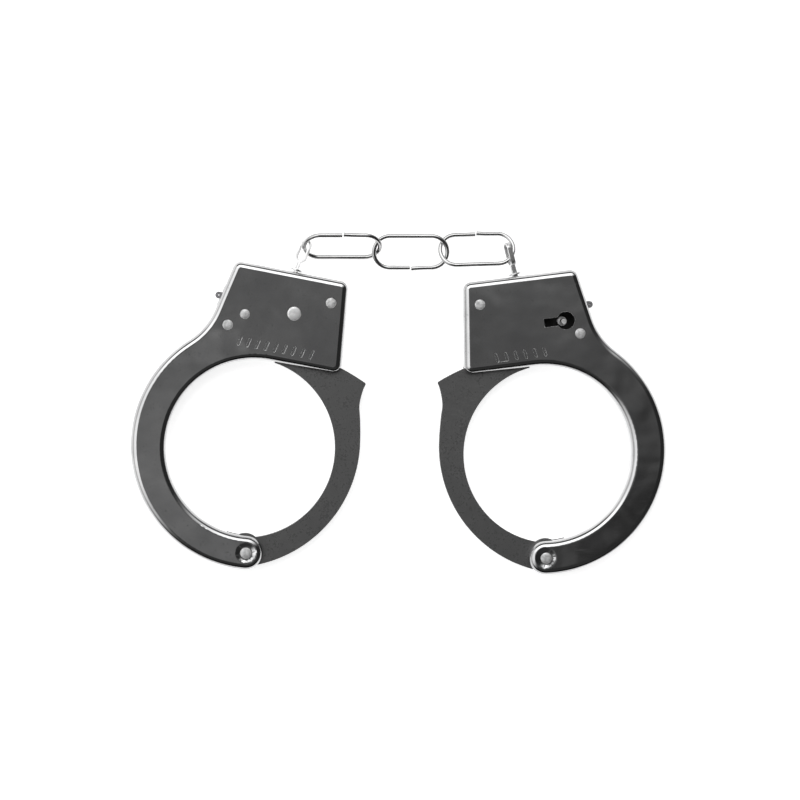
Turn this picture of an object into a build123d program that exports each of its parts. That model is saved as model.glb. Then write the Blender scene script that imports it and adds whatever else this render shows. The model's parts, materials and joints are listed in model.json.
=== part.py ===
"""A pair of light pressed-sheet handcuffs, lying flat, joined by a three-link wire chain.

Each cuff is drawn once in its own frame, in millimetres: the origin is the centre of the wrist
opening at mid thickness, +X runs along the lock housing towards the jaw side, +Y towards the
chain and +Z to the plain side. The left cuff lies plain side up and the right cuff is the same
cuff turned over. The finished pair has +X to the right, +Y towards the chain and +Z up, and it
stands on z = 0.
"""

from build123d import *
import math
import os

# Where the two cuffs lie: the centre of each wrist opening and the turn of the cuff about Z.
PAIR_SHIFT = (-0.077, 0.081)
CUFFS = {
    "left": {"centre": (-46.4, -14.0), "turn": -11.0, "up": 1},
    "right": {"centre": (46.5, -16.2), "turn": 6.9, "up": -1},
}

# The pressed half shells.
CUFF_DEPTH = 8.8
HALF_DEPTH = CUFF_DEPTH / 2
SHEET = 0.8
BEND_R = 2.0
SEAM = 0.06
INNER_R = 28.2
OUTER_R = 39.7
OUTER_CENTRE = (0.3, 0.8)
PIVOT_BEARING = 6.1
TOP_Y = 57.4
TOP_LEVER_X = -17.0
TOP_JAW_X = 19.5
BOTTOM_JAW_X = 22.6
LEVER_WALL_LEAN = 12.0
FLARE_R = 21.0
CORNER_R = 2.6

# The stamped row of plain marks on each face.
MARK_DEPTH = 0.25
MARK_SIZE = (0.8, 3.0)
MARK_ROWS = {
    1: {"centre": (0.5, 32.6), "pitch": 2.9, "count": 9},
    -1: {"centre": (4.0, 32.4), "pitch": 3.1, "count": 6},
}

# The jaw plate, its slot through the shells and its teeth, in bearings about the jaw's pivot.
JAW_THICKNESS = 1.8
JAW_SLOT_HALF = 1.15
JAW_INNER_R = 28.7
JAW_INNER_CENTRE = (-2.8, -0.65)
JAW_OUTER_R = 41.0
JAW_OUTER_CENTRE = (-7.5, 1.3)
LOBE_R = 5.0
LOBE_BUMP = (-0.3, 1.1)
HOOK_TROUGH = ((31.75, 14.2), (30.45, 19.8), (30.6, 23.8))
HOOK_BEARING = -24.8
HOOK_AIM = (-0.5, -1.0)
OUTER_TOP_BEARING = -78.0
ARM_OUTER_R = 66.2
ARM_INNER_R = 62.8
ARM_TIP_BEARING = 20.5
SHOULDER_BEARING = 2.0
TOOTH_PITCH = 2.4
TOOTH_COUNT = 8
TOOTH_DEPTH = 0.95
TOOTH_LEAN = 0.12
CLOSING_TEETH = 4
SLOT_END_BEARING = SHOULDER_BEARING + CLOSING_TEETH * TOOTH_PITCH + 0.5
SLOT_START_BEARING = -27.0
SLOT_DEPTH = 8.0

# Rivets and posts: places in the cuff, and radii of bodies and heads.
FIT = 0.05
SEAT = 0.01
BODY_RIVETS = {"top_rivet": (15.1, 49.9), "side_rivet": (-15.8, 36.9)}
RIVET_R = 1.1
RIVET_HEAD_R = 1.6
RIVET_HEAD = 0.35
PIVOT_PIN_R = 1.3
PIVOT_HEAD_R = 1.75
DISH_DEPTH = 0.35
DISH_R = 3.5
DISH_SLOPE = 78.0
PIVOT_HEAD_DROP = 0.1
SPACER_R = 3.0
PIVOT_CLEARING = (16.0, 18.0)
END_GAP = 0.1
PAWL_POST = (4.2, 44.4)
PAWL_POST_R = 1.5
PAWL_TENON_R = 1.0
PAWL_HEAD_R = 2.15
KEY_POST = (-11.1, 41.3)
KEY_POST_R = 1.5
KEY_TENON_R = 0.9
KEY_PIN_R = 0.8
KEY_PIN_LENGTH = 4.6
KEYHOLE_CENTRE = (-11.7, 41.5)
KEYHOLE_R = 2.85
KEYHOLE_SLOT_END = -4.7
KEYHOLE_SLOT_WIDTH = 2.7

# The pawl, its spring and its release lever.
PAWL_THICKNESS = 1.8
PAWL_HUB_R = 3.2
PAWL_DROP = 3.4
# Where the nose's arm and the tail leave the hub, from the post, and the depths of the tail.
ARM_ROOT = ((-1.2, 1.0), (1.6, -2.6))
TAIL_DEPTHS = (1.6, 2.6)
TAIL_OVERRUN = 2.0
NOSE_BEARING = 5 * TOOTH_PITCH
# Corners of the nose when it is down: height over the roots and bearing past the valley.
NOSE_CORNERS = {
    "back": (4.55, 0.9), "tip": (0.32, -0.4), "heel": (1.07, -1.63), "under": (2.15, -2.4)
}
LEVER_Y = 46.4
LEVER_SHEET = 0.6
LEVER_WIDTH = 3.0
LEVER_TAIL_X = -3.0
CURL_X = -20.2
CURL_R = 1.1
CURL_EYE_R = 0.2
LEVER_GAP = 0.4
LEVER_SLOT = (42.5, 49.0)
LEVER_SLOT_DEPTH = 7.0
LEVER_SLOT_INSET = 2.0
LEVER_SLOT_SIDE = 0.4
LEVER_CHEEK = (2.4, 1.4)
SPRING_WIRE = 0.5
SPRING_R = 2.4
SPRING_PITCH = 0.62
SPRING_Z = 1.35
SPRING_LEG = 9.0
REST_LEG = 13.4
REST_LEG_BEARING = 22.1
SPRING_TURN = 720.0 - REST_LEG_BEARING

# The swivels: a folded strap with a long eye, a collar outside and a washer inside.
SWIVEL_X = 2.3
SWIVEL_LEAN = {"left": 10.5, "right": 8.0}
SWIVEL_HOLE_R = 1.45
STRAP_WIDTH = 1.5
STRAP_SHEET = 0.55
STRAP_GAP = 0.04
EYE_R = 1.25
EYE_FROM = 5.2
EYE_TO = 9.3
EYE_NECK = 0.6
FOOT_REACH = 1.9
FOOT_U = -2.75
COLLAR_R = 2.0
COLLAR_U = 0.55
WASHER_R = 2.7
WASHER_U = -2.15
WASHER = 0.5
SWIVEL_SPIN = {"left": -65.5, "right": -15.3}

# The chain: butt-closed wire links, lying nearly taut.
LINK_WIDTH = 11.6
LINK_WIRE = 1.4
LINK_CUT = 0.4
LINK_STEP = 0.32
LINKS = {
    "chain_link_left": {
        "centre": (-18.2, 50.13, 4.48), "length": 25.6, "roll": 47.4, "yaw": 0.0, "cut": 1
    },
    "chain_link_middle": {
        "centre": (3.76, 48.34, 3.55), "length": 25.0, "roll": 8.8, "yaw": 0.0, "cut": -1
    },
    "chain_link_right": {
        "centre": (25.02, 49.18, 3.5), "length": 25.0, "roll": -20.2, "yaw": 1.8, "cut": 1
    },
}


def polar(centre, radius, bearing):
    """A point at a bearing in degrees from +Y, positive towards -X."""
    angle = math.radians(bearing)
    return (centre[0] - radius * math.sin(angle), centre[1] + radius * math.cos(angle))


def turned(point, centre, degrees):
    """A point turned about a centre, positive from +X towards +Y."""
    angle = math.radians(degrees)
    x, y = point[0] - centre[0], point[1] - centre[1]
    return (
        centre[0] + x * math.cos(angle) - y * math.sin(angle),
        centre[1] + x * math.sin(angle) + y * math.cos(angle),
    )


# The ring ends in a round end that is tangent to both of its edges.
AIM = (math.sin(math.radians(PIVOT_BEARING)), -math.cos(math.radians(PIVOT_BEARING)))
BOTH_R = OUTER_R + INNER_R
OFFSET_ALONG = AIM[0] * OUTER_CENTRE[0] + AIM[1] * OUTER_CENTRE[1]
PIVOT_R = (BOTH_R**2 - math.hypot(*OUTER_CENTRE) ** 2) / (2 * (BOTH_R - OFFSET_ALONG))
PIVOT = (PIVOT_R * AIM[0], PIVOT_R * AIM[1])
END_R = PIVOT_R - INNER_R


def outline_points(inset):
    """The named points of a half shell's outline, drawn inside itself by an inset."""
    outer = OUTER_R - inset
    inner = INNER_R + inset
    end = END_R - inset
    lean = math.tan(math.radians(LEVER_WALL_LEAN))
    # A point on the lever wall at height y has x = wall + lean * y, seen from the outer circle.
    wall = TOP_LEVER_X + inset * math.hypot(1, lean) - lean * TOP_Y
    shifted = wall + lean * OUTER_CENTRE[1] - OUTER_CENTRE[0]
    root = math.sqrt((1 + lean**2) * outer**2 - shifted**2)
    foot_y = OUTER_CENTRE[1] + (root - lean * shifted) / (1 + lean**2)
    slope = (BOTTOM_JAW_X - TOP_JAW_X) / (TOP_Y - INNER_R)
    jaw_wall = TOP_JAW_X - inset * math.hypot(1, slope) + slope * TOP_Y
    away = math.hypot(PIVOT[0] - OUTER_CENTRE[0], PIVOT[1] - OUTER_CENTRE[1])
    outer_x = OUTER_CENTRE[0] + (PIVOT[0] - OUTER_CENTRE[0]) * outer / away
    outer_y = OUTER_CENTRE[1] + (PIVOT[1] - OUTER_CENTRE[1]) * outer / away
    return {
        "wall_foot": (wall + lean * foot_y, foot_y),
        "top_lever": (wall + lean * (TOP_Y - inset), TOP_Y - inset),
        "top_jaw": (jaw_wall - slope * (TOP_Y - inset), TOP_Y - inset),
        "bottom_jaw": (jaw_wall - slope * inner, inner),
        "ring_top": (0, inner),
        "ring_side": (-inner, 0),
        "end_inner": (inner * AIM[0], inner * AIM[1]),
        "end_tip": (PIVOT[0] - end * AIM[1], PIVOT[1] + end * AIM[0]),
        "end_outer": (outer_x, outer_y),
        "outer_side": (OUTER_CENTRE[0] - outer, OUTER_CENTRE[1]),
    }


def shell_outline(height, inset=0.0):
    """A sketch of the half shell's outline at a height."""
    p = outline_points(inset)
    with BuildSketch(Plane.XY.offset(height)) as outline:
        with BuildLine():
            Polyline(p["wall_foot"], p["top_lever"], p["top_jaw"], p["bottom_jaw"], p["ring_top"])
            ThreePointArc(p["ring_top"], p["ring_side"], p["end_inner"])
            ThreePointArc(p["end_inner"], p["end_tip"], p["end_outer"])
            ThreePointArc(p["end_outer"], p["outer_side"], p["wall_foot"])
        make_face()
        fillet(outline.vertices().sort_by_distance((*p["wall_foot"], 0))[0], FLARE_R + inset)
        for corner in ("top_lever", "top_jaw", "bottom_jaw"):
            fillet(outline.vertices().sort_by_distance((*p[corner], 0))[0], CORNER_R - inset)
    return outline.sketch


def half_shell(side):
    """One pressed half shell: 1 is the plain half, on +Z, and -1 the keyhole half, on -Z."""
    with BuildPart() as core:
        add(shell_outline(0, SHEET))
        extrude(amount=HALF_DEPTH - SHEET)
        fillet(core.faces().sort_by(Axis.Z)[-1].edges(), BEND_R - SHEET)
    with BuildPart() as shell:
        add(shell_outline(SEAM / 2))
        extrude(amount=HALF_DEPTH - SEAM / 2)
        fillet(shell.faces().sort_by(Axis.Z)[-1].edges(), BEND_R)
        add(core.part, mode=Mode.SUBTRACT)
        # The jaw's slot along the housing's foot, and the one round the pivot end.
        with BuildSketch(Plane.XY):
            with BuildLine():
                reach = ARM_OUTER_R + 0.5
                Polyline(
                    polar(PIVOT, reach, SLOT_START_BEARING),
                    polar(PIVOT, ARM_INNER_R - SLOT_DEPTH, SLOT_START_BEARING),
                    polar(PIVOT, ARM_INNER_R - SLOT_DEPTH, SLOT_END_BEARING),
                    polar(PIVOT, reach, SLOT_END_BEARING),
                )
                middle = (SLOT_START_BEARING + SLOT_END_BEARING) / 2
                ThreePointArc(
                    polar(PIVOT, reach, SLOT_END_BEARING),
                    polar(PIVOT, reach, middle),
                    polar(PIVOT, reach, SLOT_START_BEARING),
                )
            make_face()
            with Locations((PIVOT[0] + 1, PIVOT[1])):
                Rectangle(*PIVOT_CLEARING)
        extrude(amount=JAW_SLOT_HALF, mode=Mode.SUBTRACT)
        # The dish round the pivot rivet, with its bulge on the inside.
        with BuildSketch(Plane.XY.offset(HALF_DEPTH - SHEET - DISH_DEPTH)):
            with Locations(PIVOT):
                Circle(SPACER_R + END_GAP)
        extrude(amount=DISH_DEPTH)
        with BuildSketch(Plane.XY.offset(HALF_DEPTH)):
            with Locations(PIVOT):
                Circle(DISH_R)
        extrude(amount=-DISH_DEPTH, taper=DISH_SLOPE, mode=Mode.SUBTRACT)
        with Locations((*PIVOT, HALF_DEPTH)):
            Hole(PIVOT_PIN_R + SEAT)
        for place in BODY_RIVETS.values():
            with Locations((*place, HALF_DEPTH)):
                CounterBoreHole(RIVET_R + SEAT, RIVET_HEAD_R + SEAT, RIVET_HEAD)
        if side > 0:
            with Locations((*PAWL_POST, HALF_DEPTH)):
                CounterBoreHole(PAWL_TENON_R + SEAT, PAWL_HEAD_R + SEAT, RIVET_HEAD)
            with Locations((*KEY_POST, HALF_DEPTH)):
                CounterBoreHole(KEY_TENON_R + SEAT, KEY_POST_R + SEAT, RIVET_HEAD)
        else:
            with BuildSketch(Plane.XY.offset(HALF_DEPTH)):
                with Locations(KEYHOLE_CENTRE):
                    Circle(KEYHOLE_R)
                slot = KEYHOLE_SLOT_END - KEYHOLE_CENTRE[0]
                with Locations((KEYHOLE_CENTRE[0] + slot / 2, KEYHOLE_CENTRE[1])):
                    Rectangle(slot, KEYHOLE_SLOT_WIDTH)
            extrude(amount=-1.5 * SHEET, mode=Mode.SUBTRACT)
        # The release lever's slot in the lever wall and the swivel's hole in the end wall.
        with BuildSketch(Plane.XY):
            with Locations((TOP_LEVER_X - LEVER_SLOT_INSET, sum(LEVER_SLOT) / 2)):
                Rectangle(LEVER_SLOT_DEPTH, LEVER_SLOT[1] - LEVER_SLOT[0])
        extrude(amount=LEVER_WIDTH / 2 + LEVER_SLOT_SIDE, mode=Mode.SUBTRACT)
        with BuildSketch(Plane(origin=(0, TOP_Y + 2, 0), x_dir=(1, 0, 0), z_dir=(0, -1, 0))):
            with Locations((SWIVEL_X, 0)):
                Circle(SWIVEL_HOLE_R)
        extrude(amount=4, mode=Mode.SUBTRACT)
        # The stamped row of plain marks.
        row = MARK_ROWS[side]
        with BuildSketch(Plane.XY.offset(HALF_DEPTH)):
            with Locations(row["centre"]):
                with GridLocations(row["pitch"], 1, row["count"], 1):
                    SlotOverall(MARK_SIZE[1], MARK_SIZE[0], rotation=78)
        extrude(amount=-MARK_DEPTH, mode=Mode.SUBTRACT)
        if side < 0:
            mirror(about=Plane.XY, mode=Mode.REPLACE)
    return shell.part


def jaw():
    """The flat jaw: pivot lobe, wrist arc, hook and toothed arm, sheared from one plate."""
    root = ARM_OUTER_R - TOOTH_DEPTH
    first_tip = polar(PIVOT, ARM_OUTER_R, TOOTH_LEAN)
    teeth = []
    for number in range(1, TOOTH_COUNT + 1):
        bearing = number * TOOTH_PITCH
        teeth.append(polar(PIVOT, root, bearing))
        teeth.append(polar(PIVOT, ARM_OUTER_R, bearing + TOOTH_LEAN))
    tip_outer = polar(PIVOT, root, ARM_TIP_BEARING + 0.6)
    tip_inner = polar(PIVOT, ARM_INNER_R, ARM_TIP_BEARING)
    shoulder = polar(PIVOT, ARM_INNER_R, SHOULDER_BEARING)
    inner_top_x = shoulder[0] - 0.1 - JAW_INNER_CENTRE[0]
    inner_top = (
        shoulder[0] - 0.1,
        JAW_INNER_CENTRE[1] + math.sqrt(JAW_INNER_R**2 - inner_top_x**2),
    )
    hook_tip = polar(PIVOT, ARM_OUTER_R, HOOK_BEARING)
    inner_foot = polar(JAW_INNER_CENTRE, JAW_INNER_R, -165)
    outer_foot = polar(JAW_OUTER_CENTRE, JAW_OUTER_R, -165)
    outer_top = polar(JAW_OUTER_CENTRE, JAW_OUTER_R, OUTER_TOP_BEARING)
    top_aim = polar((0, 0), 1, OUTER_TOP_BEARING + 90)
    with BuildPart() as plate:
        with BuildSketch(Plane.XY.offset(-JAW_THICKNESS / 2)) as profile:
            with BuildLine():
                ThreePointArc(inner_foot, polar(JAW_INNER_CENTRE, JAW_INNER_R, -90), inner_top)
                Line(inner_top, shoulder)
                ThreePointArc(
                    shoulder,
                    polar(PIVOT, ARM_INNER_R, (SHOULDER_BEARING + ARM_TIP_BEARING) / 2),
                    tip_inner,
                )
                Polyline(tip_inner, tip_outer, *reversed(teeth), first_tip)
                ThreePointArc(first_tip, polar(PIVOT, ARM_OUTER_R, HOOK_BEARING / 2), hook_tip)
                Spline(
                    hook_tip, *reversed(HOOK_TROUGH), outer_top, tangents=(HOOK_AIM, top_aim)
                )
                ThreePointArc(outer_top, polar(JAW_OUTER_CENTRE, JAW_OUTER_R, -120), outer_foot)
                Line(outer_foot, inner_foot)
            make_face()
            with Locations(PIVOT):
                Circle(LOBE_R)
            with Locations((PIVOT[0] + LOBE_BUMP[0], PIVOT[1] + LOBE_BUMP[1])):
                Circle(LOBE_R)
            corners = profile.vertices()
            fillet(corners.sort_by_distance((*hook_tip, 0))[0], 0.6)
            with Locations(PIVOT):
                Circle(PIVOT_PIN_R + FIT, mode=Mode.SUBTRACT)
        extrude(amount=JAW_THICKNESS)
    return plate.part


def stack(place, *steps):
    """A turned piece standing at a place: each step is a bottom, a top and a radius."""
    with BuildPart() as turned_piece:
        for bottom, top, radius in steps:
            with BuildSketch(Plane.XY.offset(bottom)):
                with Locations(place):
                    Circle(radius)
            extrude(amount=top - bottom)
    return turned_piece.part


def body_rivet(place):
    """A rivet that holds the half shells together, peened flush on both faces."""
    head = HALF_DEPTH - RIVET_HEAD
    return stack(
        place,
        (-HALF_DEPTH, -head, RIVET_HEAD_R),
        (-head, head, RIVET_R),
        (head, HALF_DEPTH, RIVET_HEAD_R),
    )


def pivot_rivet():
    """The jaw's pivot rivet, with its heads down in the dishes."""
    floor = HALF_DEPTH - DISH_DEPTH
    return stack(
        PIVOT,
        (-HALF_DEPTH + PIVOT_HEAD_DROP, -floor, PIVOT_HEAD_R),
        (-floor, floor, PIVOT_PIN_R),
        (floor, HALF_DEPTH - PIVOT_HEAD_DROP, PIVOT_HEAD_R),
    )


def pivot_spacer(side):
    """A sleeve on the pivot rivet that keeps the jaw in the middle of the shells."""
    low = JAW_THICKNESS / 2 + FIT
    high = HALF_DEPTH - SHEET - DISH_DEPTH
    bottom = low if side > 0 else -high
    with BuildPart() as sleeve:
        with BuildSketch(Plane.XY.offset(bottom)):
            with Locations(PIVOT):
                Circle(SPACER_R)
                Circle(PIVOT_PIN_R + FIT, mode=Mode.SUBTRACT)
        extrude(amount=high - low)
    return sleeve.part


def pawl_post():
    """The post the pawl turns on, with its domed head on the plain side."""
    inside = HALF_DEPTH - SHEET
    head = HALF_DEPTH - RIVET_HEAD
    return stack(
        PAWL_POST,
        (-inside + END_GAP, inside, PAWL_POST_R),
        (inside, head, PAWL_TENON_R),
        (head, HALF_DEPTH, PAWL_HEAD_R),
    )


def key_post():
    """The post a hollow key slides on, riveted to the plain half behind the keyhole."""
    inside = HALF_DEPTH - SHEET
    head = HALF_DEPTH - RIVET_HEAD
    shoulder = -inside + END_GAP + KEY_PIN_LENGTH
    return stack(
        KEY_POST,
        (-inside + END_GAP, shoulder, KEY_PIN_R),
        (shoulder, inside, KEY_POST_R),
        (inside, head, KEY_TENON_R),
        (head, HALF_DEPTH, KEY_POST_R),
    )


def pawl():
    """The pawl: a hub on its post, a nose that locks the teeth and a tail for the lever."""
    root = ARM_OUTER_R - TOOTH_DEPTH
    nose = {
        name: turned(polar(PIVOT, root + rise, NOSE_BEARING + past), PAWL_POST, -PAWL_DROP)
        for name, (rise, past) in NOSE_CORNERS.items()
    }
    low = LEVER_Y - LEVER_SHEET / 2 - FIT
    with BuildPart() as plate:
        with BuildSketch(Plane.XY.offset(-PAWL_THICKNESS / 2)):
            with Locations(PAWL_POST):
                Circle(PAWL_HUB_R)
            with BuildLine():
                Polyline(
                    (PAWL_POST[0] + ARM_ROOT[0][0], PAWL_POST[1] + ARM_ROOT[0][1]),
                    nose["back"],
                    nose["tip"],
                    nose["heel"],
                    nose["under"],
                    (PAWL_POST[0] + ARM_ROOT[1][0], PAWL_POST[1] + ARM_ROOT[1][1]),
                    close=True,
                )
            make_face()
            with BuildLine():
                Polyline(
                    (PAWL_POST[0], low),
                    (LEVER_TAIL_X - TAIL_OVERRUN, low),
                    (LEVER_TAIL_X - TAIL_OVERRUN, low - TAIL_DEPTHS[0]),
                    (PAWL_POST[0] - SPACER_R, low - TAIL_DEPTHS[1]),
                    (PAWL_POST[0], PAWL_POST[1]),
                    close=True,
                )
            make_face()
            with Locations(PAWL_POST):
                Circle(PAWL_POST_R + FIT, mode=Mode.SUBTRACT)
        extrude(amount=PAWL_THICKNESS)
    return plate.part


def release_lever():
    """The release lever: a strip fixed on the pawl's tail, curled into a thumb stub outside."""
    inner_end = PAWL_POST[0] - PAWL_HUB_R - LEVER_GAP
    clip = LEVER_Y - LEVER_SHEET / 2
    with BuildPart() as strip:
        with BuildSketch(Plane.XY.offset(-LEVER_WIDTH / 2)):
            with Locations(((inner_end + CURL_X) / 2, LEVER_Y)):
                Rectangle(inner_end - CURL_X, LEVER_SHEET)
            with Locations((CURL_X, LEVER_Y - CURL_R + LEVER_SHEET / 2)):
                Circle(CURL_R)
                Circle(CURL_EYE_R, mode=Mode.SUBTRACT)
        extrude(amount=LEVER_WIDTH)
        # Two cheeks come down on either side of the pawl's tail and hold it.
        for face in (PAWL_THICKNESS / 2 + SEAT, -PAWL_THICKNESS / 2 - SEAT - LEVER_SHEET):
            with BuildSketch(Plane.XY.offset(face)):
                with Locations((LEVER_TAIL_X - LEVER_GAP, clip - LEVER_CHEEK[1] / 2)):
                    Rectangle(*LEVER_CHEEK)
            extrude(amount=LEVER_SHEET)
    return strip.part


def pawl_spring():
    """The wire spring on the pawl's post: one leg on the top rivet, one over the lever's back."""
    with BuildPart() as spring:
        with BuildLine() as coil:
            Helix(pitch=SPRING_PITCH, height=SPRING_PITCH * SPRING_TURN / 360, radius=SPRING_R)
        start = coil.line @ 0
        end = coil.line @ 1
        with BuildSketch(Plane(origin=start, z_dir=coil.line % 0)):
            Circle(SPRING_WIRE / 2)
        sweep(path=coil.line)
        for origin, aim, length in (
            (start, coil.line % 0 * -1, REST_LEG),
            (end, coil.line % 1, SPRING_LEG),
        ):
            with BuildSketch(Plane(origin=origin, z_dir=aim)):
                Circle(SPRING_WIRE / 2)
            extrude(amount=length)
    # Turned so that the first leg rests on the top rivet's shank, on the end wall's side of it.
    return spring.part.moved(Location((*PAWL_POST, SPRING_Z), (0, 0, 90 + REST_LEG_BEARING)))


def swivel_plane(side, height):
    """A plane across the swivel at a height above its foot, with x along the eye's axis."""
    lean = math.radians(SWIVEL_LEAN[side])
    spin = math.radians(SWIVEL_SPIN[side])
    stem = (math.sin(lean), math.cos(lean), 0)
    across = (math.cos(lean) * math.cos(spin), -math.sin(lean) * math.cos(spin), math.sin(spin))
    foot = (SWIVEL_X + stem[0] * height, TOP_Y + stem[1] * height, 0)
    return Plane(origin=foot, x_dir=across, z_dir=stem)


def swivel_eye(side):
    """The swivel's strap: folded double, with a long eye outside and spread feet inside."""
    base = swivel_plane(side, 0)
    flat = Plane(origin=base.origin, x_dir=base.y_dir, z_dir=base.x_dir).offset(-STRAP_WIDTH / 2)
    middle = (EYE_FROM + EYE_TO) / 2
    leg = STRAP_SHEET + STRAP_GAP
    with BuildPart() as strap:
        with BuildSketch(flat):
            with Locations((0, middle)):
                SlotCenterToCenter(EYE_TO - EYE_FROM, 2 * (EYE_R + STRAP_SHEET), rotation=90)
            with Locations((0, (EYE_FROM - EYE_R + FOOT_U) / 2)):
                Rectangle(2 * leg, EYE_FROM - EYE_R - FOOT_U)
            with Locations((0, FOOT_U + STRAP_SHEET / 2)):
                Rectangle(2 * FOOT_REACH, STRAP_SHEET)
            with Locations((0, middle)):
                inner = 2 * EYE_R
                SlotCenterToCenter(EYE_TO - EYE_FROM, inner, rotation=90, mode=Mode.SUBTRACT)
            fold = EYE_FROM - EYE_R - EYE_NECK
            with Locations((0, (fold + FOOT_U) / 2)):
                Rectangle(2 * STRAP_GAP, fold - FOOT_U, mode=Mode.SUBTRACT)
        extrude(amount=STRAP_WIDTH)
    return strap.part


def swivel_ring(side, bottom, radius):
    """A flat ring round the swivel's strap, with a slot that fits the strap."""
    with BuildPart() as ring:
        with BuildSketch(swivel_plane(side, bottom)):
            Circle(radius)
            width = STRAP_WIDTH + 2 * FIT
            Rectangle(width, 2 * (STRAP_SHEET + STRAP_GAP + FIT), mode=Mode.SUBTRACT)
        extrude(amount=WASHER)
    return ring.part


def chain_link(link):
    """A chain link: one round wire bent to an oval, with its two ends meeting at a cut."""
    roll = math.radians(link["roll"])
    yaw = math.radians(link["yaw"])
    along = Vector(math.cos(yaw), math.sin(yaw), 0)
    level = Vector(-math.sin(yaw), math.cos(yaw), 0)
    across = level * math.cos(roll) + Vector(0, 0, 1) * math.sin(roll)
    x, y, z = link["centre"]
    origin = (x + PAIR_SHIFT[0], y + PAIR_SHIFT[1], z)
    plane = Plane(origin=origin, x_dir=along, z_dir=along.cross(across))
    bend = (LINK_WIDTH - LINK_WIRE) / 2
    half = (link["length"] - LINK_WIRE) / 2 - bend
    near = bend * link["cut"]
    gap = LINK_CUT / 2
    step = LINK_STEP * link["cut"]
    with BuildPart() as wire:
        with BuildLine(plane) as path:
            Bezier((gap, near + step), (half / 2, near), (half, near))
            ThreePointArc((half, near), (half + bend, 0), (half, -near))
            Line((half, -near), (-half, -near))
            ThreePointArc((-half, -near), (-half - bend, 0), (-half, near))
            Line((-half, near), (-gap, near))
        with BuildSketch(Plane(origin=path.line @ 0, z_dir=path.line % 0)):
            Circle(LINK_WIRE / 2)
        sweep(path=path.line)
    return wire.part


def cuff_plane(cuff):
    """Where a cuff's own frame stands in the pair."""
    turn = math.radians(cuff["turn"])
    x_dir = (cuff["up"] * math.cos(turn), cuff["up"] * math.sin(turn), 0)
    x, y = cuff["centre"]
    origin = (x + PAIR_SHIFT[0], y + PAIR_SHIFT[1], HALF_DEPTH)
    return Plane(origin=origin, x_dir=x_dir, z_dir=(0, 0, cuff["up"]))


def save(name, piece, plane=Plane.XY):
    """Put a piece in its place, label it and write it as one STEP file."""
    with BuildPart() as placed:
        add(piece.moved(plane.location))
    placed.part.label = name
    export_step(placed.part, f"parts/{name}.step")


def main():
    os.makedirs("parts", exist_ok=True)
    shared = {
        "plain_side_shell": half_shell(1),
        "keyhole_side_shell": half_shell(-1),
        "jaw": jaw(),
        "jaw_pivot_rivet": pivot_rivet(),
        "pivot_spacer_plain_side": pivot_spacer(1),
        "pivot_spacer_keyhole_side": pivot_spacer(-1),
        "pawl": pawl(),
        "pawl_post": pawl_post(),
        "pawl_spring": pawl_spring(),
        "release_lever": release_lever(),
        "key_post": key_post(),
    }
    for name, place in BODY_RIVETS.items():
        shared[name] = body_rivet(place)
    for side, cuff in CUFFS.items():
        plane = cuff_plane(cuff)
        for name, piece in shared.items():
            save(f"{side}_{name}", piece, plane)
        save(f"{side}_swivel_eye", swivel_eye(side), plane)
        save(f"{side}_swivel_collar", swivel_ring(side, COLLAR_U, COLLAR_R), plane)
        save(f"{side}_swivel_washer", swivel_ring(side, WASHER_U, WASHER_R), plane)
    for name, link in LINKS.items():
        save(name, chain_link(link))


main()
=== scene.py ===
"""Looks of a pair of light pressed-sheet handcuffs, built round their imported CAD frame.

The CAD nodes give every shape its place. Sheet parts are carried over as copies with their sharp
edges broken, the rivets get peened heads of their own, and each finish is a material of nodes.
"""

from __future__ import annotations

import json
import logging
import math
from dataclasses import dataclass
from enum import Enum
from typing import Iterable, Optional, Sequence

import bpy
from mathutils import Matrix, Vector

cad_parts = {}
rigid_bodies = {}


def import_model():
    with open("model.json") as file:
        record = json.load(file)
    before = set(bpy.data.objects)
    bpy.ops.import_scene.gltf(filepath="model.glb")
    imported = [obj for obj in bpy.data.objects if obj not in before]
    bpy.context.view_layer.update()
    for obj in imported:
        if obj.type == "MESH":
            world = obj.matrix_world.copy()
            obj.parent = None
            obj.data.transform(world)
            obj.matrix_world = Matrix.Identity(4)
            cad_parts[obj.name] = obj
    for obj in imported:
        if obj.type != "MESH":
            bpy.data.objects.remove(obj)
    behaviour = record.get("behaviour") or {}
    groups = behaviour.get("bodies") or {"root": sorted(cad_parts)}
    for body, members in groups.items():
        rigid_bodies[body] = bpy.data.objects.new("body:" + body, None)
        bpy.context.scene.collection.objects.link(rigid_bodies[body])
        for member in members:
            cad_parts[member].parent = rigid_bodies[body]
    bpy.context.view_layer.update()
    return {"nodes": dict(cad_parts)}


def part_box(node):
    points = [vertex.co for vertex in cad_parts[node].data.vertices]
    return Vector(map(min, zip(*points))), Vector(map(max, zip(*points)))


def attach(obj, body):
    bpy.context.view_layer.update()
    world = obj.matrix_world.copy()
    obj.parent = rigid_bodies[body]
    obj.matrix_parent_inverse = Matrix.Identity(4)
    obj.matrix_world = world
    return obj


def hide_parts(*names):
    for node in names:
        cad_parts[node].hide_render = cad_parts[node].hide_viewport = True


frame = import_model()

LOG = logging.getLogger("handcuffs")
MM = 0.001
HALF_TURN = 180.0

# Shares that every metal finish uses: how far pits darken it and how much each fault dulls it.
PIT_SHARE = 0.6
SPECKLE_DULL = 0.12
SCRATCH_DULL = 0.15
SCRATCH_CUT = 1.5
SCRATCH_SCALE = 220.0
EDGE_DULL = 0.45
EDGE_GAIN = 1.5
EDGE_REACH = 0.18 * MM

Colour = tuple[float, float, float]


class Side(Enum):
    """The two cuffs, by where they lie."""

    LEFT = "left"
    RIGHT = "right"


class Pattern(Enum):
    """The effects that several finishes share, as node groups made once."""

    CLOUD = "soft_cloud"
    SPECKLE = "fine_speckle"
    SCRATCH = "hairline_scratches"
    EDGE = "worn_edge"


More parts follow.
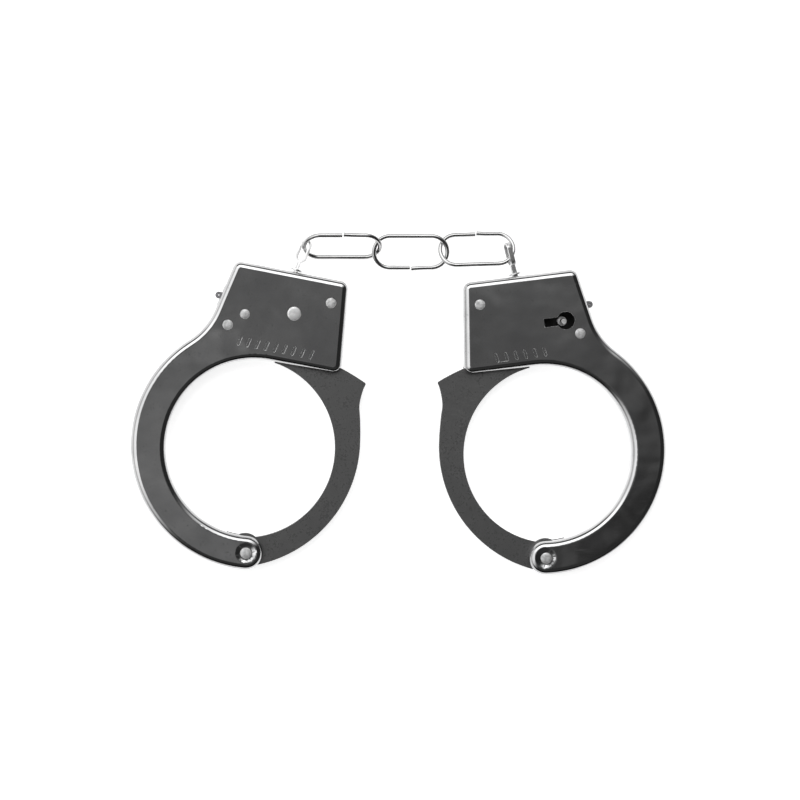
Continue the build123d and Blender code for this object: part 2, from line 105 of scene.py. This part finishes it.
class NodeSheet:
    """A node tree with short ways to add and join nodes."""

    def __init__(self, tree: bpy.types.NodeTree) -> None:
        """Keep the tree that the nodes go into.

        Args:
            tree: the node tree of a material, a world or a group.
        """
        self.tree = tree

    def add(self, kind: str, values: Optional[dict] = None, **options: object) -> bpy.types.Node:
        """Add a node.

        Args:
            kind: the node's type, without its Shader prefix where it has one.
            values: input names or numbers with a value or a socket to join.
            options: properties of the node itself.

        Returns:
            The new node.
        """
        name = kind if kind.startswith("NodeGroup") else f"ShaderNode{kind}"
        node = self.tree.nodes.new(name)
        for option, value in options.items():
            setattr(node, option, value)
        for key, value in (values or {}).items():
            self.put(node.inputs[key], value)
        return node

    def put(self, socket: bpy.types.NodeSocket, value: object) -> None:
        """Join a socket to another one, or set its value."""
        if isinstance(value, bpy.types.NodeSocket):
            self.tree.links.new(value, socket)
        else:
            socket.default_value = value

    def math(self, operation: str, first: object, second: object = 0.0) -> bpy.types.NodeSocket:
        """The result of a sum of one or two values."""
        return self.add("Math", {0: first, 1: second}, operation=operation).outputs[0]

    def span(self, value: object, low: float, high: float, to_low: float, to_high: float,
             smooth: bool = False) -> bpy.types.NodeSocket:
        """A value carried from one span to another and held inside it."""
        node = self.add("MapRange", {0: value, 1: low, 2: high, 3: to_low, 4: to_high})
        node.interpolation_type = "SMOOTHSTEP" if smooth else "LINEAR"
        return node.outputs[0]

    def blend(self, share: object, first: object, second: object) -> bpy.types.NodeSocket:
        """A colour between two colours."""
        node = self.add("Mix", data_type="RGBA")
        self.put(node.inputs[0], share)
        self.put(node.inputs[6], (*first, 1.0) if isinstance(first, tuple) else first)
        self.put(node.inputs[7], (*second, 1.0) if isinstance(second, tuple) else second)
        return node.outputs[2]

    def product(self, first: object, second: object) -> bpy.types.NodeSocket:
        """Two values multiplied."""
        return self.math("MULTIPLY", first, second)

    def fade(self, share: object, value: object) -> bpy.types.NodeSocket:
        """A factor that works in full where the share is 1 and is 1 where the share is 0."""
        return self.math("ADD", self.product(share, value), self.math("SUBTRACT", 1.0, share))

    def noise(self, vector: object, scale: object, detail: float = 3.0,
              rough: float = 0.55) -> bpy.types.NodeSocket:
        """A noise value over a vector."""
        node = self.add("TexNoise", {"Vector": vector, "Scale": scale, "Detail": detail,
                                     "Roughness": rough})
        return node.outputs[0]


class Effects:
    """The node groups that the finishes share."""

    def __init__(self) -> None:
        """Build each group once."""
        self.groups = {
            Pattern.CLOUD: self._cloud(),
            Pattern.SPECKLE: self._speckle(),
            Pattern.SCRATCH: self._scratch(),
            Pattern.EDGE: self._edge(),
        }

    @staticmethod
    def _start(pattern: Pattern, inputs: Sequence[tuple[str, float]]) -> tuple[NodeSheet, dict]:
        """Start a group that puts out one mask.

        Args:
            pattern: the effect, which names the group.
            inputs: names and usual values of its number inputs.

        Returns:
            The sheet of nodes, and the group's input sockets by name.
        """
        tree = bpy.data.node_groups.new(pattern.value, "ShaderNodeTree")
        tree.interface.new_socket("Vector", in_out="INPUT", socket_type="NodeSocketVector")
        for name, value in inputs:
            socket = tree.interface.new_socket(name, in_out="INPUT", socket_type="NodeSocketFloat")
            socket.default_value = value
        tree.interface.new_socket("Mask", in_out="OUTPUT", socket_type="NodeSocketFloat")
        sheet = NodeSheet(tree)
        entry = sheet.add("NodeGroupInput")
        return sheet, {socket.name: socket for socket in entry.outputs if socket.name}

    @staticmethod
    def _end(sheet: NodeSheet, mask: bpy.types.NodeSocket) -> bpy.types.NodeTree:
        """Put a mask out of a group and hand the group back."""
        leave = sheet.add("NodeGroupOutput")
        sheet.tree.links.new(mask, leave.inputs[0])
        return sheet.tree

    def _cloud(self) -> bpy.types.NodeTree:
        """Broad soft patches, as on a pressed and plated face."""
        sheet, given = self._start(Pattern.CLOUD, [("Scale", 60.0), ("Contrast", 1.0)])
        value = sheet.noise(given["Vector"], given["Scale"], 2.0, 0.5)
        centred = sheet.math("SUBTRACT", value, 0.5)
        scaled = sheet.product(centred, given["Contrast"])
        moved = sheet.math("ADD", scaled, 0.5)
        return self._end(sheet, sheet.span(moved, 0.0, 1.0, 0.0, 1.0))

    def _speckle(self) -> bpy.types.NodeTree:
        """Small pits and grains, some larger than others."""
        sheet, given = self._start(Pattern.SPECKLE, [("Scale", 2500.0), ("Cover", 0.3)])
        fine = sheet.noise(given["Vector"], given["Scale"], 4.0, 0.7)
        wide = sheet.noise(given["Vector"], sheet.product(given["Scale"], 0.23), 2.0, 0.5)
        both = sheet.math("ADD", sheet.product(fine, 0.7), sheet.product(wide, 0.3))
        edge = sheet.math("SUBTRACT", 0.72, sheet.product(given["Cover"], 0.4))
        over = sheet.math("SUBTRACT", both, edge)
        return self._end(sheet, sheet.span(over, 0.0, 0.08, 0.0, 1.0, True))

    def _scratch(self) -> bpy.types.NodeTree:
        """Short hairlines that run two ways across each other."""
        sheet, given = self._start(Pattern.SCRATCH, [("Scale", 220.0), ("Cover", 0.5)])
        masks = []
        for turn, stretch in ((0.5, 34.0), (-0.9, 26.0)):
            turned = sheet.add("Mapping", {"Vector": given["Vector"], "Rotation": (0.0, 0.0, turn),
                                           "Scale": (1.0, stretch, 1.0)})
            line = sheet.noise(turned.outputs[0], given["Scale"], 1.0, 0.4)
            patch = sheet.noise(given["Vector"], sheet.product(given["Scale"], 0.3), 1.0)
            thin = sheet.span(line, 0.66, 0.74, 0.0, 1.0)
            here = sheet.span(patch, 0.5, 0.62, 0.0, 1.0)
            masks.append(sheet.product(thin, here))
        either = sheet.math("MAXIMUM", masks[0], masks[1])
        return self._end(sheet, sheet.product(either, given["Cover"]))

    def _edge(self) -> bpy.types.NodeTree:
        """Where the surface turns sharply, broken up by grains: a worn edge that also carries a
        painted edge highlight.
        """
        sheet, given = self._start(Pattern.EDGE, [("Reach", 0.0002), ("Amount", 1.0)])
        rounded = sheet.add("Bevel", {"Radius": given["Reach"]}, samples=4)
        geometry = sheet.add("NewGeometry")
        dot = sheet.add("VectorMath", {0: rounded.outputs[0], 1: geometry.outputs["Normal"]},
                        operation="DOT_PRODUCT")
        turn = sheet.span(dot.outputs["Value"], 0.99, 0.85, 0.0, 1.0)
        grain = sheet.noise(given["Vector"], 900.0, 2.0)
        broken = sheet.product(turn, sheet.span(grain, 0.35, 0.6, 0.2, 1.0))
        return self._end(sheet, sheet.product(broken, given["Amount"]))


@dataclass(frozen=True)
class MetalFinish:
    """A metal surface: its colours, its gloss and the size of its faults."""

    name: str
    light: Colour
    dark: Colour
    smooth: float
    dull: float
    cloud_scale: float = 60.0
    cloud_contrast: float = 1.6
    speckle_scale: float = 2600.0
    speckle_cover: float = 0.3
    speckle_shade: float = 0.6
    scratch_cover: float = 0.4
    wave_height: float = 0.00004
    wave_scale: float = 55.0
    grain_height: float = 0.000002
    grain_scale: float = 1800.0
    # How strongly sharp edges show: worn and rougher, and lighter in colour as a painted edge
    # highlight.
    edge_wear_and_highlight: float = 0.0

    def material(self, effects: Effects) -> bpy.types.Material:
        """Build the finish as a material of nodes.

        Args:
            effects: the shared node groups.

        Returns:
            The material, which reads Object coordinates.
        """
        made = bpy.data.materials.new(self.name)
        made.use_nodes = True
        made.node_tree.nodes.clear()
        sheet = NodeSheet(made.node_tree)
        place = sheet.add("TexCoord").outputs["Object"]

        def mask(pattern: Pattern, **values: float) -> bpy.types.NodeSocket:
            """One shared effect with this finish's values."""
            node = sheet.add("Group", node_tree=effects.groups[pattern])
            sheet.put(node.inputs["Vector"], place)
            for key, value in values.items():
                node.inputs[key].default_value = value
            return node.outputs["Mask"]

        cloud = mask(Pattern.CLOUD, Scale=self.cloud_scale, Contrast=self.cloud_contrast)
        speckle = mask(Pattern.SPECKLE, Scale=self.speckle_scale, Cover=self.speckle_cover)
        scratch = mask(Pattern.SCRATCH, Scale=SCRATCH_SCALE, Cover=self.scratch_cover)
        shade = sheet.blend(cloud, self.dark, self.light)
        pits = tuple(channel * self.speckle_shade for channel in self.dark)
        colour = sheet.blend(sheet.product(speckle, PIT_SHARE), shade, pits)
        rough = sheet.span(cloud, 0.0, 1.0, self.dull, self.smooth)
        if self.edge_wear_and_highlight:
            # Sharp edges are worn and rougher, and their colour is lifted as a painted edge
            # highlight.
            edge = mask(Pattern.EDGE, Reach=EDGE_REACH, Amount=self.edge_wear_and_highlight)
            bright = tuple(min(1.0, channel * EDGE_GAIN) for channel in self.light)
            colour = sheet.blend(edge, colour, bright)
            rough = sheet.math("ADD", rough, sheet.product(edge, EDGE_DULL))
        rough = sheet.math("ADD", rough, sheet.product(speckle, SPECKLE_DULL))
        rough = sheet.math("ADD", rough, sheet.product(scratch, SCRATCH_DULL))
        wave = sheet.noise(place, self.wave_scale, 2.0, 0.45)
        grain = sheet.noise(place, self.grain_scale, 4.0, 0.7)
        first = sheet.add("Bump", {"Height": wave, "Strength": 1.0, "Distance": self.wave_height})
        cut = sheet.math("SUBTRACT", grain, sheet.product(scratch, SCRATCH_CUT))
        second = sheet.add("Bump", {"Height": cut, "Strength": 1.0, "Distance": self.grain_height,
                                    "Normal": first.outputs[0]})
        shader = sheet.add("BsdfPrincipled", {"Base Color": colour, "Metallic": 1.0,
                                              "Roughness": rough, "Normal": second.outputs[0]})
        out = sheet.add("OutputMaterial")
        sheet.tree.links.new(shader.outputs[0], out.inputs[0])
        return made


@dataclass(frozen=True)
class Finishes:
    """Every metal finish on the object."""

    plate: MetalFinish = MetalFinish(
        "nickel_plate", (0.62, 0.62, 0.62), (0.44, 0.44, 0.445), 0.05, 0.14,
        cloud_scale=75.0, cloud_contrast=2.0, speckle_scale=1500.0, speckle_cover=0.34,
        wave_height=0.00022, wave_scale=55.0, grain_height=0.0000016, edge_wear_and_highlight=0.9)
    jaw: MetalFinish = MetalFinish(
        "jaw_steel", (0.25, 0.25, 0.25), (0.145, 0.145, 0.145), 0.3, 0.42,
        cloud_scale=110.0, cloud_contrast=2.2, speckle_scale=1400.0, speckle_cover=0.5,
        speckle_shade=0.5, wave_height=0.00005,
        grain_height=0.000006, grain_scale=1500.0, edge_wear_and_highlight=0.35)
    rivet: MetalFinish = MetalFinish(
        "peened_rivet", (0.86, 0.86, 0.86), (0.52, 0.52, 0.52), 0.46, 0.58,
        cloud_scale=800.0, cloud_contrast=2.8, speckle_scale=3500.0, speckle_cover=0.35,
        wave_height=0.00002, wave_scale=900.0, grain_height=0.000004)
    post: MetalFinish = MetalFinish(
        "domed_post", (0.96, 0.96, 0.96), (0.74, 0.74, 0.74), 0.4, 0.5,
        cloud_scale=600.0, speckle_cover=0.25, wave_height=0.00001, wave_scale=700.0)
    wire: MetalFinish = MetalFinish(
        "bright_wire", (0.60, 0.60, 0.60), (0.45, 0.45, 0.45), 0.1, 0.2,
        cloud_scale=160.0, speckle_cover=0.2, wave_height=0.00001, wave_scale=200.0)
    strap: MetalFinish = MetalFinish(
        "bright_strap", (0.86, 0.86, 0.86), (0.6, 0.6, 0.6), 0.3, 0.42,
        cloud_scale=260.0, cloud_contrast=2.4, speckle_cover=0.2, wave_height=0.00001,
        wave_scale=300.0)
    inner: MetalFinish = MetalFinish(
        "inner_steel", (0.45, 0.45, 0.46), (0.30, 0.30, 0.31), 0.28, 0.42,
        cloud_scale=120.0, speckle_cover=0.4, wave_height=0.00002, edge_wear_and_highlight=0.3)
    # Near black: painted shade for the inner faces of the shells, where the closed case is dark
    # within.
    inside_shade: MetalFinish = MetalFinish(
        "painted_inside_shade", (0.05, 0.05, 0.05), (0.02, 0.02, 0.02), 0.4, 0.55,
        cloud_scale=160.0, speckle_cover=0.3, wave_height=0.00002)
    spring: MetalFinish = MetalFinish(
        "spring_wire", (0.34, 0.33, 0.31), (0.22, 0.21, 0.20), 0.22, 0.35,
        cloud_scale=300.0, speckle_cover=0.3, wave_height=0.000005)


class Workbench:
    """The shared ways of modelling and dressing pieces."""

    merge_reach: float = 0.002 * MM
    flat_turn: float = math.radians(0.4)
    sharp_turn: float = math.radians(38.0)
    smooth_turn: float = math.radians(60.0)
    face_weight: int = 100

    def __init__(self) -> None:
        """Make the finishes ready."""
        effects = Effects()
        kinds = Finishes()
        self.materials = {
            name: getattr(kinds, name).material(effects)
            for name in ("plate", "jaw", "rivet", "post", "wire", "strap", "inner", "inside_shade",
                         "spring")
        }

    def dress(self, piece: bpy.types.Object, finish: str) -> None:
        """Give a piece one finish all over.

        Args:
            piece: the mesh object.
            finish: the finish's field name in Finishes.
        """
        piece.data.materials.clear()
        piece.data.materials.append(self.materials[finish])

    @staticmethod
    def pick(piece: bpy.types.Object) -> None:
        """Leave this piece alone selected and active."""
        bpy.ops.object.select_all(action="DESELECT")
        piece.select_set(True)
        bpy.context.view_layer.objects.active = piece

    def carry(self, node: str, name: str, body: str, finish: str, edge: float,
              slot: str) -> bpy.types.Object:
        """A copy of a CAD node with its sharp edges broken, which stands for the node.

        Args:
            node: the CAD node's name.
            name: the new piece's name.
            body: the body that the piece rides on.
            finish: the finish's field name.
            edge: the width of the broken edge, in metres.
            slot: the record's material slot; not used.

        Returns:
            The new piece.
        """
        piece = bpy.data.objects.new(name, frame["nodes"][node].data.copy())
        bpy.context.scene.collection.objects.link(piece)
        piece.data.name = name
        self.pick(piece)
        bpy.ops.object.mode_set(mode="EDIT")
        bpy.ops.mesh.select_all(action="SELECT")
        bpy.ops.mesh.customdata_custom_splitnormals_clear()
        bpy.ops.mesh.remove_doubles(threshold=self.merge_reach)
        bpy.ops.mesh.dissolve_limited(angle_limit=self.flat_turn)
        bpy.ops.object.mode_set(mode="OBJECT")
        bevel = piece.modifiers.new("broken_edge", "BEVEL")
        bevel.width = edge
        bevel.segments = 2
        bevel.limit_method = "ANGLE"
        bevel.angle_limit = self.sharp_turn
        bpy.ops.object.modifier_apply(modifier=bevel.name)
        bpy.ops.object.shade_smooth_by_angle(angle=self.smooth_turn)
        weights = piece.modifiers.new("flat_faces", "WEIGHTED_NORMAL")
        weights.mode = "FACE_AREA"
        weights.weight = self.face_weight
        weights.keep_sharp = True
        bpy.ops.object.modifier_apply(modifier=weights.name)
        self.dress(piece, finish)
        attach(piece, body)
        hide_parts(node)
        return piece


@dataclass
class PeenedHead:
    """A rivet's head, hammered over: a low dome with a soft rim and small dents."""

    radius: float
    rise: float
    seed: int
    depth: float = 0.25 * MM
    sides: int = 28
    dent: float = 0.02 * MM
    # Each ring of the dome: how far in it steps, of the radius, and how far up, of the rise.
    rings: tuple[tuple[float, float], ...] = ((0.1, 0.55), (0.2, 0.25), (0.25, 0.15), (0.25, 0.05))
    smooth_turn: float = math.radians(40.0)

    def build(self, name: str, place: Vector, up: int) -> bpy.types.Object:
        """Model the head and set it in place.

        Args:
            name: the piece's name.
            place: the middle of the face that the head stands on.
            up: 1 for a head that faces +Z and -1 for one that faces -Z.

        Returns:
            The finished head.
        """
        bpy.ops.object.select_all(action="DESELECT")
        bpy.ops.mesh.primitive_cylinder_add(
            vertices=self.sides, radius=self.radius, depth=self.depth,
            location=(0.0, 0.0, -self.depth / 2))
        piece = bpy.context.active_object
        piece.name = name
        piece.data.name = name
        bpy.ops.object.transform_apply(location=True, rotation=True, scale=True)
        bpy.ops.object.mode_set(mode="EDIT")
        bpy.ops.mesh.select_mode(type="FACE")
        bpy.ops.mesh.select_all(action="DESELECT")
        bpy.ops.object.mode_set(mode="OBJECT")
        for face in piece.data.polygons:
            face.select = face.normal.z > 0.9
        bpy.ops.object.mode_set(mode="EDIT")
        for inset, lift in self.rings:
            bpy.ops.mesh.inset(thickness=self.radius * inset, depth=0.0)
            bpy.ops.transform.translate(value=(0.0, 0.0, self.rise * lift))
        bpy.ops.mesh.poke()
        bpy.ops.mesh.select_more()
        bpy.ops.mesh.select_more()
        bpy.ops.transform.vertex_random(offset=self.dent, uniform=0.4, normal=0.6, seed=self.seed)
        bpy.ops.object.mode_set(mode="OBJECT")
        smooth = piece.modifiers.new("smooth", "SUBSURF")
        smooth.levels = 1
        smooth.render_levels = 1
        bpy.ops.object.modifier_apply(modifier=smooth.name)
        if up < 0:
            bpy.ops.transform.rotate(value=math.pi, orient_axis="X", center_override=(0, 0, 0))
        bpy.ops.transform.translate(value=place)
        bpy.ops.object.transform_apply(location=True, rotation=True, scale=True)
        bpy.ops.object.shade_smooth_by_angle(angle=self.smooth_turn)
        return piece


@dataclass
class CuffCase:
    """The two pressed half shells of a cuff with the rivets that hold them."""

    side: Side
    bench: Workbench
    edge: float = 0.13 * MM
    mid_height: float = 4.4 * MM
    clearly_past: float = 1.0 * MM
    sheet: float = 0.6 * MM
    facing: float = 0.9
    head_rise: float = 0.14 * MM
    head_rim: float = 0.03 * MM
    rivet_radius: float = 1.6 * MM
    pivot_radius: float = 1.75 * MM
    post_radius: float = 2.15 * MM
    key_radius: float = 1.5 * MM
    first_seed: int = 7

    def shells(self) -> None:
        """Carry both half shells over, plated outside, with painted shade on the inside of their
        faces.
        """
        for half in ("plain_side_shell", "keyhole_side_shell"):
            node = f"{self.side.value}_{half}"
            piece = self.bench.carry(node, f"{node}_plated", f"{self.side.value}_cuff", "plate",
                                     self.edge, "nickel_shell")
            piece.data.materials.append(self.bench.materials["inside_shade"])
            low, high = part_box(node)
            outward = 1 if high.z > self.mid_height + self.clearly_past else -1
            outside = high.z if outward > 0 else low.z
            for face in piece.data.polygons:
                below = (outside - face.center.z) * outward
                # Faces that point into the case, below the outer sheet, get the painted shade.
                if face.normal.z * outward < -self.facing and below > self.sheet:
                    face.material_index = 1
            LOG.info("%s plated", node)

    def heads(self) -> None:
        """Put a peened head on each end of a rivet that shows."""
        plain_up = 1 if self.side is Side.LEFT else -1
        plan = (
            ("top_rivet", (1, -1), self.rivet_radius, "rivet"),
            ("side_rivet", (1, -1), self.rivet_radius, "rivet"),
            ("jaw_pivot_rivet", (1, -1), self.pivot_radius, "rivet"),
            ("pawl_post", (plain_up,), self.post_radius, "post"),
            ("key_post", (plain_up,), self.key_radius, "rivet"),
        )
        for number, (rivet, ends, radius, finish) in enumerate(plan):
            low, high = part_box(f"{self.side.value}_{rivet}")
            for end in ends:
                level = high.z if end > 0 else low.z
                place = Vector(((low.x + high.x) / 2, (low.y + high.y) / 2,
                                level - end * self.head_rim))
                name = f"{self.side.value}_{rivet}_head_{'upper' if end > 0 else 'lower'}"
                head = PeenedHead(radius, self.head_rise, self.first_seed + number * 2 + end)
                piece = head.build(name, place, end)
                self.bench.dress(piece, finish)
                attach(piece, f"{self.side.value}_cuff")
                LOG.info("%s peened", name)

    def cores(self) -> None:
        """Finish the rivets and spacers themselves."""
        for rivet in ("top_rivet", "side_rivet", "jaw_pivot_rivet", "pawl_post", "key_post"):
            self.bench.dress(frame["nodes"][f"{self.side.value}_{rivet}"], "rivet")
        for spacer in ("pivot_spacer_plain_side", "pivot_spacer_keyhole_side"):
            self.bench.dress(frame["nodes"][f"{self.side.value}_{spacer}"], "inner")

    def build(self) -> None:
        """Build and dress the case."""
        self.shells()
        self.heads()
        self.cores()


@dataclass
class RatchetJaw:
    """The flat toothed jaw, sheared from plate."""

    side: Side
    bench: Workbench
    edge: float = 0.09 * MM

    def build(self) -> None:
        """Carry the jaw over with the soft edge that shearing leaves."""
        node = f"{self.side.value}_jaw"
        self.bench.carry(node, f"{node}_sheared", node, "jaw", self.edge, "jaw_plate")
        LOG.info("%s sheared", node)


@dataclass
class LockWork:
    """The pawl, its spring and the release lever."""

    side: Side
    bench: Workbench
    edge: float = 0.05 * MM

    def build(self) -> None:
        """Dress the lock's moving pieces."""
        body = f"{self.side.value}_pawl"
        for part in ("pawl", "release_lever"):
            node = f"{self.side.value}_{part}"
            self.bench.carry(node, f"{node}_finished", body, "inner", self.edge, "inner_steel")
        self.bench.dress(frame["nodes"][f"{self.side.value}_pawl_spring"], "spring")
        LOG.info("%s lock finished", self.side.value)


@dataclass
class SwivelMount:
    """The folded strap eye with its collar and washer."""

    side: Side
    bench: Workbench
    edge: float = 0.12 * MM
    ring_edge: float = 0.06 * MM

    def build(self) -> None:
        """Carry the swivel's strap and its two rings over."""
        body = f"{self.side.value}_swivel"
        node = f"{self.side.value}_swivel_eye"
        self.bench.carry(node, f"{node}_folded", body, "strap", self.edge, "chain_wire")
        for ring in ("collar", "washer"):
            node = f"{self.side.value}_swivel_{ring}"
            self.bench.carry(node, f"{node}_finished", body, "strap", self.ring_edge,
                             "inner_steel")
        LOG.info("%s swivel finished", self.side.value)


@dataclass
class WireChain:
    """The three butt-closed wire links."""

    bench: Workbench
    edge: float = 0.1 * MM

    def build(self) -> None:
        """Carry the links over with the sheared ends of the wire softened."""
        for link in ("chain_link_left", "chain_link_middle", "chain_link_right"):
            self.bench.carry(link, f"{link}_wire", link, "wire", self.edge, "chain_wire")
            LOG.info("%s bent", link)


@dataclass
class Studio:
    """The floor, the light tent and the camera straight above."""

    floor_half: float = 6.0
    floor_drop: float = 0.2 * MM
    eye_distance: float = 1.05
    eye_lean: tuple[float, float] = (-4.5, 2.5)
    view_width: float = 0.256
    view_middle: tuple[float, float] = (0.21 * MM, 1.06 * MM)
    mid_height: float = 4.4 * MM
    sensor: float = 36.0
    lit_stops: tuple[tuple[float, float], ...] = (
        (0.0, 0.15), (9.0, 0.13), (13.0, 0.5), (18.0, 2.3), (54.0, 2.3), (62.0, 1.5), (180.0, 1.3))
    shade_stops: tuple[tuple[float, float], ...] = (
        (0.0, 0.15), (9.0, 0.12), (14.0, 0.06), (24.0, 0.045), (76.0, 0.05), (90.0, 0.5),
        (180.0, 1.2))
    floor_colour: Colour = (0.8, 0.8, 0.8)
    floor_roughness: float = 0.9
    floor_shine: float = 0.1
    floor_glow: float = 0.75
    # The bright wall: where it stands, and how far round from there it fades out.
    key_side: Colour = (-0.66, 0.75, 0.0)
    key_fade: tuple[float, float] = (-0.35, 0.55)
    # The dark line over the bright wall: where it rises and falls, and where along Y it lies.
    line_rise: tuple[float, float] = (56.0, 60.0)
    line_fall: tuple[float, float] = (84.0, 90.0)
    line_sides: tuple[float, float] = (0.45, 0.85)
    line_least: float = 0.1
    line_depth: float = 0.93
    # Towards X the walls are less bright than towards Y.
    level_sides: tuple[float, float] = (0.35, 0.8)
    level_least: float = 0.65
    level_edge: tuple[float, float] = (10.0, 16.0)
    # The uneven dark opening overhead.
    cloud_edge: tuple[float, float] = (12.0, 24.0)
    cloud_scale: float = 26.0
    cloud_span: tuple[float, float] = (0.32, 0.68)
    cloud_levels: tuple[float, float] = (0.35, 1.65)
    drift_middle: float = 0.08
    drift_reach: float = 0.006
    drift_levels: tuple[float, float] = (-0.5, 0.8)

    def floor(self) -> None:
        """Lay a plain pale floor."""
        bpy.ops.object.select_all(action="DESELECT")
        bpy.ops.mesh.primitive_plane_add(size=2 * self.floor_half,
                                         location=(0.0, 0.0, -self.floor_drop))
        floor = bpy.context.active_object
        floor.name = "floor"
        bpy.ops.object.transform_apply(location=True, rotation=True, scale=True)
        made = bpy.data.materials.new("pale_floor")
        made.use_nodes = True
        shader = made.node_tree.nodes["Principled BSDF"]
        shader.inputs["Base Color"].default_value = (*self.floor_colour, 1.0)
        shader.inputs["Roughness"].default_value = self.floor_roughness
        shader.inputs["Specular IOR Level"].default_value = self.floor_shine
        shader.inputs["Emission Color"].default_value = (1.0, 1.0, 1.0, 1.0)
        shader.inputs["Emission Strength"].default_value = self.floor_glow
        floor.data.materials.append(made)

    def tent(self) -> None:
        """Light from all round, with a dark opening overhead where the camera looks in."""
        world = bpy.data.worlds.new("light_tent")
        bpy.context.scene.world = world
        world.use_nodes = True
        world.node_tree.nodes.clear()
        sheet = NodeSheet(world.node_tree)
        way = sheet.add("TexCoord").outputs["Generated"]
        parts = sheet.add("SeparateXYZ", {0: way}).outputs
        angle = sheet.product(sheet.math("ARCCOSINE", parts["Z"]), HALF_TURN / math.pi)
        level = sheet.add("CombineXYZ", {0: parts["X"], 1: parts["Y"], 2: 0.0}).outputs[0]
        aim = sheet.add("VectorMath", {0: level}, operation="NORMALIZE").outputs[0]
        towards_key = sheet.add("VectorMath", {0: aim, 1: self.key_side},
                                operation="DOT_PRODUCT").outputs["Value"]
        side = sheet.span(towards_key, *self.key_fade, 0.0, 1.0, True)
        along = sheet.math("ABSOLUTE", sheet.add("SeparateXYZ", {0: aim}).outputs["Y"])
        # A bright wall stands on the key side and a dark one across from it.
        lit = self._ramp(sheet, angle, self.lit_stops)
        shade = self._ramp(sheet, angle, self.shade_stops)
        light = sheet.blend(side, shade, lit)
        line = sheet.product(sheet.span(angle, *self.line_rise, 0.0, 1.0),
                             sheet.span(angle, *self.line_fall, 1.0, 0.0))
        here = sheet.span(along, *self.line_sides, self.line_least, 1.0, True)
        gap = sheet.product(sheet.product(line, here), self.line_depth)
        walls = sheet.fade(sheet.span(angle, *self.level_edge, 0.0, 1.0),
                           sheet.span(along, *self.level_sides, self.level_least, 1.0))
        patch = sheet.noise(way, self.cloud_scale, 3.0, 0.6)
        off = sheet.product(sheet.math("SUBTRACT", parts["X"], self.drift_middle), parts["Y"])
        drift = sheet.span(off, -self.drift_reach, self.drift_reach, *self.drift_levels)
        uneven = sheet.math("ADD", sheet.span(patch, *self.cloud_span, *self.cloud_levels), drift)
        cloudy = sheet.fade(sheet.span(angle, *self.cloud_edge, 1.0, 0.0), uneven)
        strength = sheet.product(sheet.product(cloudy, walls), sheet.math("SUBTRACT", 1.0, gap))
        back = sheet.add("Background", {"Color": light, "Strength": strength})
        out = sheet.add("OutputWorld")
        sheet.tree.links.new(back.outputs[0], out.inputs[0])

    @staticmethod
    def _ramp(sheet: NodeSheet, angle: bpy.types.NodeSocket,
              stops: Sequence[tuple[float, float]]) -> bpy.types.NodeSocket:
        """A grey level that follows the angle from straight up.

        Args:
            sheet: the world's nodes.
            angle: degrees from straight up.
            stops: pairs of degrees and level, in order.

        Returns:
            The level as a colour.
        """
        node = sheet.add("ValToRGB", {0: sheet.math("DIVIDE", angle, HALF_TURN)})
        ramp = node.color_ramp
        for number, (degrees, level) in enumerate(stops):
            position = degrees / HALF_TURN
            stop = ramp.elements[number] if number < 2 else ramp.elements.new(position)
            stop.position = position
            stop.color = (level, level, level, 1.0)
        return node.outputs[0]

    def camera(self) -> None:
        """Set the camera above, a little towards the key side."""
        eye = bpy.data.cameras.new("overhead")
        eye.sensor_width = self.sensor
        eye.lens = self.sensor * self.eye_distance / self.view_width
        seat = bpy.data.objects.new("overhead", eye)
        across, up = (math.tan(math.radians(lean)) for lean in self.eye_lean)
        back = Vector((across, up, 1.0)).normalized()
        middle = Vector((*self.view_middle, self.mid_height))
        seat.location = middle + back * self.eye_distance
        right = Vector((0.0, 1.0, 0.0)).cross(back).normalized()
        turn = Matrix((right, back.cross(right), back)).transposed()
        seat.rotation_euler = turn.to_euler()
        bpy.context.scene.collection.objects.link(seat)
        bpy.context.scene.camera = seat

    def build(self) -> None:
        """Set the studio up."""
        self.floor()
        self.tent()
        self.camera()
        bpy.context.scene.view_settings.view_transform = "Standard"
        LOG.info("studio ready")


def main() -> None:
    """Build the handcuffs and the studio round them."""
    logging.basicConfig(level=logging.INFO, format="%(name)s: %(message)s")
    bench = Workbench()
    for side in Side:
        CuffCase(side, bench).build()
        RatchetJaw(side, bench).build()
        LockWork(side, bench).build()
        SwivelMount(side, bench).build()
    WireChain(bench).build()
    Studio().build()


if __name__ == "__main__":
    main()
